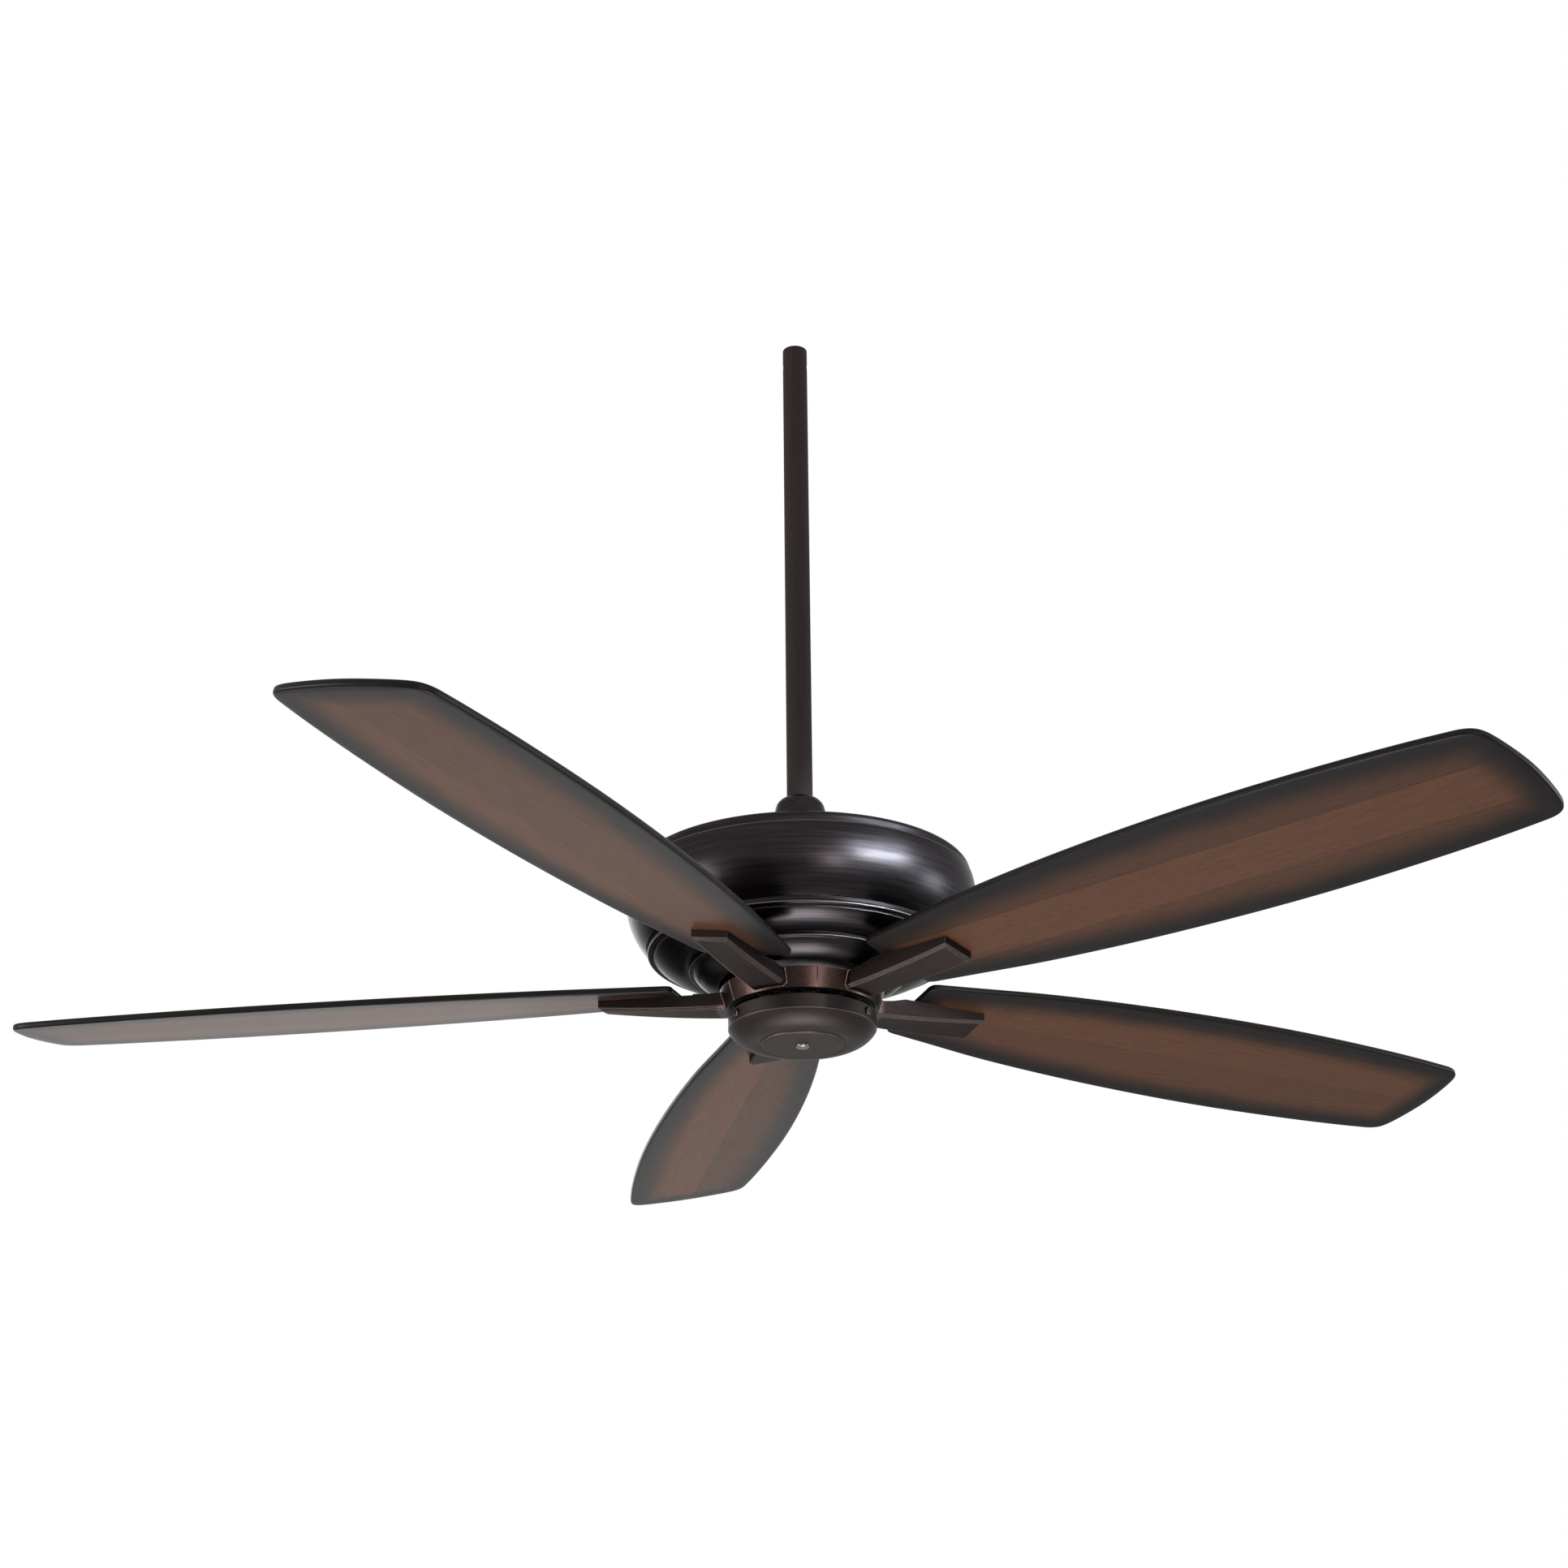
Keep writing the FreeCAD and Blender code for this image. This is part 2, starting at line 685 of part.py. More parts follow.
def make_hub():
    hub = tube(hub_bore_radius, hub_radius, hub_foot, hub_top)
    through = hub_height + 2 * overrun
    hub_hole = peg(large_screw_radius + hole_clearance, through,
                   Vector(hub_screw_circle, 0, hub_foot - overrun), up)
    tools = spread(hub_hole, seam_angles)
    screws = []
    for place in arm_screw_places():
        tap = peg(large_screw_radius + thread_clearance, through,
                  place + Vector(0, 0, hub_foot - overrun), up)
        tools += spread(tap, blade_angles)
        arm_screw = screw(large_screw_radius, arm_screw_length, place + Vector(0, 0, foot_level), -up)
        screws += spread(arm_screw, blade_angles)
    save(hub.cut(tools), "hub_plate")
    save(Part.makeCompound(screws), "arm_screws")
    hub_screw = screw(large_screw_radius, hub_screw_length, Vector(hub_screw_circle, 0, hub_foot), -up)
    save(Part.makeCompound(spread(hub_screw, seam_angles)), "hub_screws")


def blade_frame():
    # From the flat blade, root to tip along X, to its pitched and drooping place
    tilt = Placement(Vector(0, 0, blade_level), Rotation(along_x, -blade_pitch))
    lean = Placement(Vector(0, 0, blade_rise), Rotation(along_y, blade_droop))
    return tilt.multiply(lean)


def in_blade_frame(shape):
    shape.Placement = blade_frame().multiply(shape.Placement)
    return shape


def blade_screw_places():
    first = blade_root_radius + blade_screw_inset
    second = first + blade_screw_row
    pair = [Vector(second, side * blade_screw_spread, 0) for side in (-1, 1)]
    return [Vector(first, 0, 0)] + pair


def arm_section(station, half_width, levels):
    # Closed cross-section of an arm: levels are top left, top right, low right, low left
    top_left, top_right, low_right, low_left = levels
    corners = [
        Vector(station, -half_width, top_left),
        Vector(station, half_width, top_right),
        Vector(station, half_width, low_right),
        Vector(station, -half_width, low_left),
    ]
    return Part.Wire(Part.makePolygon(corners + corners[:1]))


def make_arm_beam():
    # The beam twists from level at the heel to the blade's pitch; its sole steps in twice on the way down
    root = heel_foot_radius - arm_root_inset
    full_lean = arm_half_width * math.tan(math.radians(blade_pitch))
    droop_fall = math.tan(math.radians(blade_droop))
    root_top = heel_top - arm_top_drop
    root_foot = heel_foot + arm_root_rise
    end_seat = blade_level + blade_rise - blade_thickness / 2 - arm_end_radius * droop_fall
    end_foot = end_seat - arm_end_height
    layers = [[] for layer in range(arm_step_count + 1)]
    for index in range(arm_station_count + 1):
        along = index / arm_station_count
        station = root + (arm_end_radius - root) * along
        settle = min(1, along / arm_seat_share)
        blend = settle * settle * (3 - 2 * settle)
        seat = blade_level + blade_rise - station * droop_fall
        top = root_top + (seat - root_top) * blend - arm_waist_dip * math.sin(math.pi * settle)
        foot = root_foot + (end_foot - root_foot) * along ** arm_rise_power
        top_lean = full_lean * blend
        lean = full_lean * along
        for layer, sections in enumerate(layers):
            low = foot + arm_step_height * (arm_step_count - layer)
            high = low + arm_step_height + overrun
            tops = (top + top_lean, top - top_lean) if layer == 0 else (high + lean, high - lean)
            inset = arm_step_width * layer
            levels = tops + (low - lean, low + lean)
            sections.append(arm_section(station - inset * along, arm_half_width - inset, levels))
    lofts = [Part.makeLoft(sections, True, True) for sections in layers]
    return lofts[0].fuse(lofts[1:])


def make_heel():
    seam_turn = math.degrees(heel_seam / heel_top_radius)
    span = 360 / blade_count - seam_turn
    wall = Part.Wire(path(profile_point(heel_top_radius - heel_wall, heel_top), [
        profile_point(heel_top_radius, heel_top),
        profile_point(heel_foot_radius, heel_foot),
        profile_point(heel_foot_radius - heel_wall, heel_foot),
        profile_point(heel_top_radius - heel_wall, heel_top),
    ]))
    heel = Part.Face(wall).revolve(axis_foot, up, span)
    return turned_to(heel, -span / 2)


def make_arms():
    root = heel_foot_radius - arm_root_inset
    foot_length = root - foot_inner_radius
    foot_centre = Vector(foot_inner_radius + foot_length / 2, 0, foot_level + foot_height / 2)
    foot = block(foot_length, arm_half_width * 2, foot_height, foot_centre)
    arm = make_arm_beam().fuse([make_heel(), foot])
    seat_start = blade_root_radius - seat_lead
    seat_length = arm_end_radius + overrun - seat_start
    seat_width = blade_half_width * 2
    clearing = blade_rise + blade_half_width
    above_seat = block(seat_length, seat_width, clearing,
                       Vector(seat_start + seat_length / 2, 0, (clearing - blade_thickness) / 2))
    tools = [in_blade_frame(above_seat)]
    tap_depth = blade_screw_length - blade_washer_height - blade_thickness + overrun
    for place in blade_screw_places():
        start = place - Vector(0, 0, blade_thickness / 2 + tap_depth)
        tap = peg(large_screw_radius + thread_clearance, tap_depth + overrun, start, up)
        tools.append(in_blade_frame(tap))
    for place in arm_screw_places():
        start = place + Vector(0, 0, foot_level - overrun)
        tools.append(peg(large_screw_radius + hole_clearance, foot_height + 2 * overrun, start, up))
    arm = arm.cut(tools)
    for index, angle in enumerate(blade_angles):
        save(turned_to(arm, angle), "blade_arm_" + str(index + 1))


def blade_outline():
    # One smooth closed curve: along one side from root to tip and back along the other
    length = blade_tip_radius - blade_root_radius
    places = zip(blade_length_shares, blade_width_shares)
    side = [Vector(blade_root_radius + length * along, blade_half_width * across, 0)
            for along, across in places]
    other_side = [Vector(point.x, -point.y, 0) for point in reversed(side[1:-1])]
    curve = Part.BSplineCurve()
    curve.interpolate(side + other_side, PeriodicFlag=True)
    return Part.Wire(curve.toShape())


def make_blades():
    blade = Part.Face(blade_outline()).extrude(Vector(0, 0, blade_thickness))
    blade.translate(Vector(0, 0, -blade_thickness / 2))
    level_edges = [edge for edge in blade.Edges if edge.BoundBox.ZLength < blade_edge]
    blade = blade.makeFillet(blade_edge, level_edges)
    holes = []
    for place in blade_screw_places():
        start = place - Vector(0, 0, blade_thickness / 2 + overrun)
        holes.append(peg(large_screw_radius + hole_clearance, blade_thickness + 2 * overrun, start, up))
    blade = in_blade_frame(blade.cut(holes))
    for index, angle in enumerate(blade_angles):
        save(turned_to(blade, angle), "blade_" + str(index + 1))


def make_blade_fasteners():
    screws = []
    washers = []
    for place in blade_screw_places():
        washer_seat = place + Vector(0, 0, blade_thickness / 2)
        washer = peg(blade_washer_radius, blade_washer_height, washer_seat, up)
        bore_start = washer_seat - Vector(0, 0, overrun)
        bore = peg(large_screw_radius + hole_clearance, blade_washer_height + 2 * overrun, bore_start, up)
        washers += spread(in_blade_frame(washer.cut(bore)), blade_angles)
        seat = washer_seat + Vector(0, 0, blade_washer_height)
        blade_screw = screw(large_screw_radius, blade_screw_length, seat, up)
        screws += spread(in_blade_frame(blade_screw), blade_angles)
    save(Part.makeCompound(washers), "blade_washers")
    save(Part.makeCompound(screws), "blade_screws")


def make_cap():
    dome_run = cap_radius - cap_dome_foot_radius
    run_share, fall_share = cap_dome_shares
    via_radius = cap_dome_foot_radius + dome_run * run_share
    via_level = cap_rim_foot - cap_dome_height * fall_share
    groove_radius = cap_dome_foot_radius - cap_groove_width
    groove_level = cap_dome_foot + cap_groove_depth
    disc_radius = groove_radius - cap_groove_width
    hole_radius = plug_radius - plug_stem_wall + slip_clearance
    disc_corner = cap_disc_edge * corner_share
    edges = path(profile_point(cap_radius, cap_top), [
        profile_point(cap_radius, cap_rim_foot),
        (profile_point(via_radius, via_level), profile_point(cap_dome_foot_radius, cap_dome_foot)),
        profile_point(groove_radius, groove_level),
        profile_point(disc_radius, groove_level),
        profile_point(disc_radius, cap_disc_level + cap_disc_edge),
        (profile_point(disc_radius - disc_corner, cap_disc_level + disc_corner),
         profile_point(disc_radius - cap_disc_edge, cap_disc_level)),
        profile_point(hole_radius, cap_disc_level),
        profile_point(hole_radius, cap_disc_level + sheet),
        profile_point(disc_radius - cap_disc_edge, cap_disc_level + sheet),
        profile_point(disc_radius - cap_disc_edge, groove_level + sheet),
        profile_point(cap_dome_foot_radius, cap_dome_foot + sheet + cap_groove_depth),
        (profile_point(via_radius - sheet, via_level + sheet),
         profile_point(cap_radius - sheet, cap_rim_foot)),
        profile_point(cap_radius - sheet, cap_top),
        profile_point(cap_radius, cap_top),
    ])
    cap = turned(edges)
    angles = even_angles(cap_screw_count, cap_first_angle)
    screw_level = cap_top - cap_screw_drop
    hole = peg(small_screw_radius + hole_clearance, sheet + 2 * overrun,
               Vector(cap_radius - sheet - overrun, 0, screw_level), along_x)
    save(cap.cut(spread(hole, angles)), "bottom_cap")
    cap_screw = screw(small_screw_radius, cap_screw_length, Vector(cap_radius, 0, screw_level), along_x)
    save(Part.makeCompound(spread(cap_screw, angles)), "cap_screws")

    plug = disc(plug_radius, cap_disc_level - plug_head_height, cap_disc_level)
    plug = plug.makeFillet(plug_head_height * plug_dome_share, [plug.Edges[-1]])
    stem = disc(plug_radius - plug_stem_wall, cap_disc_level, cap_disc_level + plug_stem_length)
    save(plug.fuse(stem).removeSplitter(), "cap_plug")


def make_cap_plate():
    skirt_foot = cap_rim_foot + plate_fit
    plate = disc(plate_radius, plate_foot, plate_top)
    plate = plate.fuse(tube(plate_radius - plate_skirt_wall, plate_radius, skirt_foot, plate_top))
    bore = disc(shaft_radius + slip_clearance, plate_foot - overrun, plate_top + overrun)
    tap_length = plate_skirt_wall + 2 * overrun
    tap = peg(small_screw_radius + thread_clearance, tap_length,
              Vector(plate_radius - plate_skirt_wall - overrun, 0, cap_top - cap_screw_drop), along_x)
    plate = plate.cut([bore] + spread(tap, even_angles(cap_screw_count, cap_first_angle)))
    save(plate.removeSplitter(), "cap_plate")


def make_shaft_fasteners():
    corner = Vector(nut_radius, 0, 0)
    ring = [Rotation(up, angle).multVec(corner) for angle in even_angles(nut_sides, 0)]
    hexagon = Part.Face(Part.Wire(Part.makePolygon(ring + ring[:1])))
    bore = shaft_radius + thread_clearance
    nuts = []
    for foot in (plate_top, plate_foot - washer_height - nut_height):
        nut = hexagon.extrude(Vector(0, 0, nut_height))
        nut.translate(Vector(0, 0, foot))
        nuts.append(nut.cut(disc(bore, foot - overrun, foot + nut_height + overrun)))
    save(Part.makeCompound(nuts), "shaft_nuts")
    washer = tube(shaft_radius + slip_clearance, washer_radius, plate_foot - washer_height, plate_foot)
    save(washer, "shaft_washer")


def make_capacitor():
    centre = Vector(0, capacitor_offset, plate_foot - capacitor_height / 2)
    body = block(capacitor_length, capacitor_width, capacitor_height, centre)
    upright = [edge for edge in body.Edges if edge.BoundBox.ZLength > capacitor_height / 2]
    save(body.makeFillet(capacitor_corner, upright), "run_capacitor")


def make_wires():
    reach = shaft_bore - wire_radius - wire_clearance
    side = wire_pitch / 2
    places = (Vector(0, reach, 0), Vector(-side, -math.sqrt(reach ** 2 - side ** 2), 0),
              Vector(side, -math.sqrt(reach ** 2 - side ** 2), 0))
    low = shaft_foot
    length = rod_top - wire_end_gap - low
    wires = [peg(wire_radius, length, place + Vector(0, 0, low), up) for place in places]
    save(Part.makeCompound(wires), "lead_wires")


make_rod()
make_coupling()
make_coupling_fasteners()
make_bell_cover()
make_top_cover()
make_motor_housing()
make_motor_bracket()
make_shaft()
make_stator()
make_rotor()
make_bearings()
make_hub()
make_arms()
make_blades()
make_blade_fasteners()
make_cap()
make_cap_plate()
make_shaft_fasteners()
make_capacitor()
make_wires()
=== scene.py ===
import math

import bpy
from mathutils import Matrix, Vector


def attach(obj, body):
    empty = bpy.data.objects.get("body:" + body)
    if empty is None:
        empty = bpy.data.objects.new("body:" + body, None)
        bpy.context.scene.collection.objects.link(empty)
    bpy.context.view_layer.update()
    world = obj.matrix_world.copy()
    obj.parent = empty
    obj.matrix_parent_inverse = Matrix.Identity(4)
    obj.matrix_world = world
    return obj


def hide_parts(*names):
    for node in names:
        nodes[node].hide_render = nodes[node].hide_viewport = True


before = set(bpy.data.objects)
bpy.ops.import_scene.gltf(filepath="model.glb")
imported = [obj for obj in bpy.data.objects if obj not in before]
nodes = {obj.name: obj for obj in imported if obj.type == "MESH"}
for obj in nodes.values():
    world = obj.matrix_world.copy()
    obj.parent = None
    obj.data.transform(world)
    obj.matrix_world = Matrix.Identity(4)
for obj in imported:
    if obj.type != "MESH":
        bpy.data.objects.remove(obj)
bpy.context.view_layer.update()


# Hanging rod: a drawn steel tube, cut square, painted dark bronze and drilled across
# at both ends. Its paint is matt, with faint marks running along the tube.
wear_starts = 0.985
wear_full = 0.9
least_wear = 0.35
cloud_scale = 14.0
cloud_strength = 0.35
mark_depth = 0.00002


def new_finish(name):
    material = bpy.data.materials.new(name)
    material.use_nodes = True
    tree = material.node_tree
    return material, tree, tree.nodes["Principled BSDF"]


def add_node(tree, kind, **settings):
    node = tree.nodes.new(kind)
    for key, value in settings.items():
        setattr(node, key, value)
    return node


def object_place(tree):
    return add_node(tree, "ShaderNodeTexCoord").outputs["Object"]


def maths(tree, operation, *values):
    node = add_node(tree, "ShaderNodeMath", operation=operation)
    for socket, value in zip(node.inputs, values):
        if isinstance(value, (int, float)):
            socket.default_value = value
        else:
            tree.links.new(value, socket)
    return node.outputs[0]


def split_place(tree, place):
    node = add_node(tree, "ShaderNodeSeparateXYZ")
    tree.links.new(place, node.inputs[0])
    return node.outputs


def join_place(tree, *values):
    node = add_node(tree, "ShaderNodeCombineXYZ")
    for socket, value in zip(node.inputs, values):
        tree.links.new(value, socket)
    return node.outputs[0]


def round_place(tree):
    # Turn angle, height and radius about the fan's axis
    x, y, z = split_place(tree, object_place(tree))
    squares = maths(tree, "ADD", maths(tree, "MULTIPLY", x, x), maths(tree, "MULTIPLY", y, y))
    return maths(tree, "ARCTAN2", y, x), z, maths(tree, "SQRT", squares)


def noise(tree, place, scale, detail=2.0, roughness=0.5):
    node = add_node(tree, "ShaderNodeTexNoise")
    node.inputs["Scale"].default_value = scale
    node.inputs["Detail"].default_value = detail
    node.inputs["Roughness"].default_value = roughness
    tree.links.new(place, node.inputs["Vector"])
    return node.outputs["Fac"]


def ramp(tree, value, stops):
    node = add_node(tree, "ShaderNodeValToRGB")
    elements = node.color_ramp.elements
    while len(elements) < len(stops):
        elements.new(1.0)
    for element, (position, colour) in zip(elements, stops):
        element.position = position
        element.color = (*colour, 1.0)
    tree.links.new(value, node.inputs["Fac"])
    return node.outputs["Color"]


def span(tree, value, low, high, start=0.0, stop=1.0):
    # Low at start, high at stop, and even in between
    node = add_node(tree, "ShaderNodeMapRange")
    node.inputs["From Min"].default_value = start
    node.inputs["From Max"].default_value = stop
    node.inputs["To Min"].default_value = low
    node.inputs["To Max"].default_value = high
    tree.links.new(value, node.inputs["Value"])
    return node.outputs["Result"]


def blend_colour(tree, share, first, second, blend_type="MIX"):
    # Inputs 6 and 7 and output 2 are the Mix node's colour sockets
    node = add_node(tree, "ShaderNodeMix", data_type="RGBA", blend_type=blend_type)
    sockets = (node.inputs["Factor"], node.inputs[6], node.inputs[7])
    for socket, value in zip(sockets, (share, first, second)):
        if isinstance(value, tuple):
            socket.default_value = (*value, 1.0)
        elif isinstance(value, float):
            socket.default_value = value
        else:
            tree.links.new(value, socket)
    return node.outputs[2]


def relief(tree, shader, height, depth):
    node = add_node(tree, "ShaderNodeBump")
    node.inputs["Strength"].default_value = 1.0
    node.inputs["Distance"].default_value = depth
    tree.links.new(height, node.inputs["Height"])
    tree.links.new(node.outputs["Normal"], shader.inputs["Normal"])
    return node


def edge_mask(tree, width):
    # White along sharp edges, where rubbing has cut through the dark coat
    rounded = add_node(tree, "ShaderNodeBevel", samples=6)
    rounded.inputs["Radius"].default_value = width
    flat = add_node(tree, "ShaderNodeNewGeometry")
    dot = add_node(tree, "ShaderNodeVectorMath", operation="DOT_PRODUCT")
    tree.links.new(rounded.outputs["Normal"], dot.inputs[0])
    tree.links.new(flat.outputs["Normal"], dot.inputs[1])
    mask = span(tree, dot.outputs["Value"], 0.0, 1.0, wear_starts, wear_full)
    return mask, rounded.outputs["Normal"]


def rubbed_bronze(name, dark, light, rub_and_highlight, stretch, mark_scale, rough, rim_tint, edge_width,
                  height_lines=(), radius_lines=()):
    # A line is the middle and the half width of a band, by height or radius, that takes the pale colour;
    # some bands are rubbed wear, and those along beads and disc edges are painted highlights
    material, tree, shader = new_finish(name)
    angle, height, radius = round_place(tree)
    mark_place = [maths(tree, "MULTIPLY", value, share)
                  for value, share in zip((angle, height, radius), stretch)]
    marks = noise(tree, join_place(tree, *mark_place), mark_scale, detail=4.0, roughness=0.6)
    clouds = noise(tree, object_place(tree), cloud_scale, detail=3.0)
    coat = ramp(tree, marks, ((0.25, dark), (0.75, light)))
    coat = blend_colour(tree, span(tree, clouds, 0.0, cloud_strength), coat, dark)
    worn_and_highlit, rounded = edge_mask(tree, edge_width)
    for measure, lines in ((height, height_lines), (radius, radius_lines)):
        for middle, half_width in lines:
            line = maths(tree, "COMPARE", measure, middle, half_width)
            worn_and_highlit = maths(tree, "MAXIMUM", worn_and_highlit, line)
    worn_and_highlit = maths(tree, "MULTIPLY", worn_and_highlit, span(tree, clouds, least_wear, 1.0))
    # Pale where worn at the edges and along the lines: rubbed wear, and along the bead and disc lines a
    # painted highlight
    tree.links.new(blend_colour(tree, worn_and_highlit, coat, rub_and_highlight), shader.inputs["Base Color"])
    shader.inputs["Metallic"].default_value = 1.0
    shader.inputs["Specular Tint"].default_value = (rim_tint, rim_tint, rim_tint, 1.0)
    tree.links.new(span(tree, marks, *rough), shader.inputs["Roughness"])
    bump = relief(tree, shader, marks, mark_depth)
    tree.links.new(rounded, bump.inputs["Normal"])
    return material


def dress(material, *names):
    for name in names:
        mesh = nodes[name].data
        mesh.materials.clear()
        mesh.materials.append(material)


rod_paint = rubbed_bronze(
    "rod_paint", dark=(0.036, 0.0276, 0.0268), light=(0.054, 0.0428, 0.0418), rub_and_highlight=(0.085, 0.066, 0.06),
    stretch=(0.013, 0.02, 1.0), mark_scale=900.0, rough=(0.76, 0.88), rim_tint=0.9, edge_width=0.0008)
dress(rod_paint, "downrod")


# Hanger coupling with its pin, cotter and screws: a black painted iron casting that
# grips the rod's foot, fixed by plain steel pins and screws under the bell cover.
stain_share = 0.06


def grained_finish(name, dark, light, metallic, grain_scale, rough, depth):
    material, tree, shader = new_finish(name)
    place = object_place(tree)
    grain = noise(tree, place, grain_scale, detail=5.0, roughness=0.6)
    stain = noise(tree, place, grain_scale * stain_share, detail=3.0)
    tone = ramp(tree, stain, ((0.3, dark), (0.7, light)))
    tree.links.new(tone, shader.inputs["Base Color"])
    shader.inputs["Metallic"].default_value = metallic
    tree.links.new(span(tree, grain, *rough), shader.inputs["Roughness"])
    relief(tree, shader, grain, depth)
    return material


coupling_iron = grained_finish(
    "coupling_iron", dark=(0.035, 0.033, 0.031), light=(0.06, 0.056, 0.052), metallic=0.3,
    grain_scale=900.0, rough=(0.5, 0.75), depth=0.0002)
dress(coupling_iron, "hanger_coupling")
bright_steel = grained_finish(
    "bright_steel", dark=(0.5, 0.5, 0.5), light=(0.62, 0.61, 0.6), metallic=1.0,
    grain_scale=1400.0, rough=(0.22, 0.38), depth=0.00002)
dress(bright_steel, "clevis_pin", "cotter_pin", "coupling_set_screws", "coupling_screws")


# Bell cover, top cover and motor housing: sheet steel spun in tiers, coated dark bronze, brushed round
# the axis and rubbed paler along the rim and the edges; the two beads carry a painted highlight line.
# Blackened screws hold the top cover on the housing.
housing_rim = (-0.5868, 0.0004)
# Painted highlight: a pale line along the crest of each bead
upper_bead_highlight = (-0.6576, 0.0008)
lower_bead_highlight = (-0.6749, 0.0006)
housing_bronze = rubbed_bronze(
    "housing_bronze", dark=(0.0145, 0.0122, 0.013), light=(0.0355, 0.0305, 0.033),
    rub_and_highlight=(0.13, 0.112, 0.115), stretch=(0.006, 1.0, 1.0), mark_scale=430.0, rough=(0.25, 0.37),
    rim_tint=0.65, edge_width=0.0008, height_lines=(housing_rim, upper_bead_highlight, lower_bead_highlight))
dress(housing_bronze, "coupling_cover", "top_cover", "motor_housing")
screw_black = rubbed_bronze(
    "screw_black", dark=(0.012, 0.01, 0.0095), light=(0.03, 0.025, 0.023), rub_and_highlight=(0.1, 0.075, 0.065),
    stretch=(0.05, 1.0, 1.0), mark_scale=600.0, rough=(0.25, 0.4), rim_tint=0.7, edge_width=0.0004)
dress(screw_black, "housing_screws")


# Motor inside the housing: zinc plated bracket, ground steel shaft and bearings,
# varnished laminations, copper coils and the cast aluminium shells of the rotor,
# which steel screws hold together.
zinc_plate = grained_finish(
    "zinc_plate", dark=(0.42, 0.42, 0.38), light=(0.55, 0.54, 0.5), metallic=1.0,
    grain_scale=500.0, rough=(0.3, 0.5), depth=0.00004)
dress(zinc_plate, "motor_bracket")
dress(bright_steel, "motor_shaft", "bearing_inner_races", "bearing_outer_races", "bearing_balls",
      "rotor_shell_screws")
lamination = grained_finish(
    "lamination", dark=(0.16, 0.15, 0.15), light=(0.24, 0.23, 0.22), metallic=0.9,
    grain_scale=1500.0, rough=(0.4, 0.6), depth=0.00008)
dress(lamination, "stator_core", "rotor_ring")
coil_copper = grained_finish(
    "coil_copper", dark=(0.42, 0.15, 0.06), light=(0.6, 0.26, 0.12), metallic=1.0,
    grain_scale=1100.0, rough=(0.25, 0.4), depth=0.0003)
dress(coil_copper, "stator_windings")
cast_aluminium = grained_finish(
    "cast_aluminium", dark=(0.42, 0.43, 0.44), light=(0.56, 0.57, 0.58), metallic=1.0,
    grain_scale=700.0, rough=(0.4, 0.6), depth=0.00012)
dress(cast_aluminium, "rotor_upper_shell", "rotor_lower_shell")


# Supply wires: three copper wires in soft black insulation, led down inside the rod
# and the hollow shaft.
wire_sleeve = grained_finish(
    "wire_sleeve", dark=(0.02, 0.02, 0.02), light=(0.035, 0.034, 0.034), metallic=0.0,
    grain_scale=800.0, rough=(0.45, 0.65), depth=0.00005)
dress(wire_sleeve, "lead_wires")


# Blade arms and hub: zinc castings whose heels close up into a ring, screwed to a black
# plate under the rotor. They are coated brown bronze, brushed along their length and
# rubbed at the edges; inside the ring and under the heels their colour is painted near-black shade.
blade_count = 5
beam_start = 0.078
beam_full = 0.083
heel_bottom = -0.7141
heel_shade_top = -0.7133
ring_inside = 0.0705
ring_shade_edge = 0.0722
heel_tint = (1.45, 1.15, 1.08)
# Near-black colour of the painted shade under the heels and inside the ring
painted_shade = (0.002, 0.002, 0.002)
heel_roughness = 0.26
beam_roughness = 0.56
arm_bronze = rubbed_bronze(
    "arm_bronze", dark=(0.018, 0.0137, 0.0122), light=(0.034, 0.0255, 0.023), rub_and_highlight=(0.26, 0.205, 0.185),
    stretch=(0.12, 1.0, 0.04), mark_scale=520.0, rough=(0.0, 0.1), rim_tint=0.85, edge_width=0.0009)
arm_tree = arm_bronze.node_tree
arm_colour = arm_tree.nodes["Principled BSDF"].inputs["Base Color"]
arm_roughness = arm_tree.nodes["Principled BSDF"].inputs["Roughness"]
brushed_coat = arm_colour.links[0].from_socket
brushed_roughness = arm_roughness.links[0].from_socket
arm_height, arm_radius = round_place(arm_tree)[1:]
beam_share = span(arm_tree, arm_radius, 0.0, 1.0, beam_start, beam_full)
heel_coat = blend_colour(arm_tree, 1.0, brushed_coat, heel_tint, "MULTIPLY")
arm_coat = blend_colour(arm_tree, beam_share, heel_coat, brushed_coat)
# Painted shade: the heels' undersides and the inside of the ring turn near-black, where the joint above the
# cap lies in shadow
heel_underside_shade = maths(arm_tree, "MULTIPLY", span(arm_tree, arm_height, 1.0, 0.0, heel_bottom, heel_shade_top),
                   span(arm_tree, beam_share, 1.0, 0.0))
ring_inside_shade = span(arm_tree, arm_radius, 1.0, 0.0, ring_inside, ring_shade_edge)
painted_shade_share = maths(arm_tree, "MAXIMUM", heel_underside_shade, ring_inside_shade)
arm_tree.links.new(blend_colour(arm_tree, painted_shade_share, arm_coat, painted_shade), arm_colour)
added_roughness = span(arm_tree, beam_share, heel_roughness, beam_roughness)
arm_tree.links.new(maths(arm_tree, "ADD", brushed_roughness, added_roughness), arm_roughness)
dress(arm_bronze, *["blade_arm_" + str(number) for number in range(1, blade_count + 1)])
dress(screw_black, "hub_plate", "hub_screws", "arm_screws")


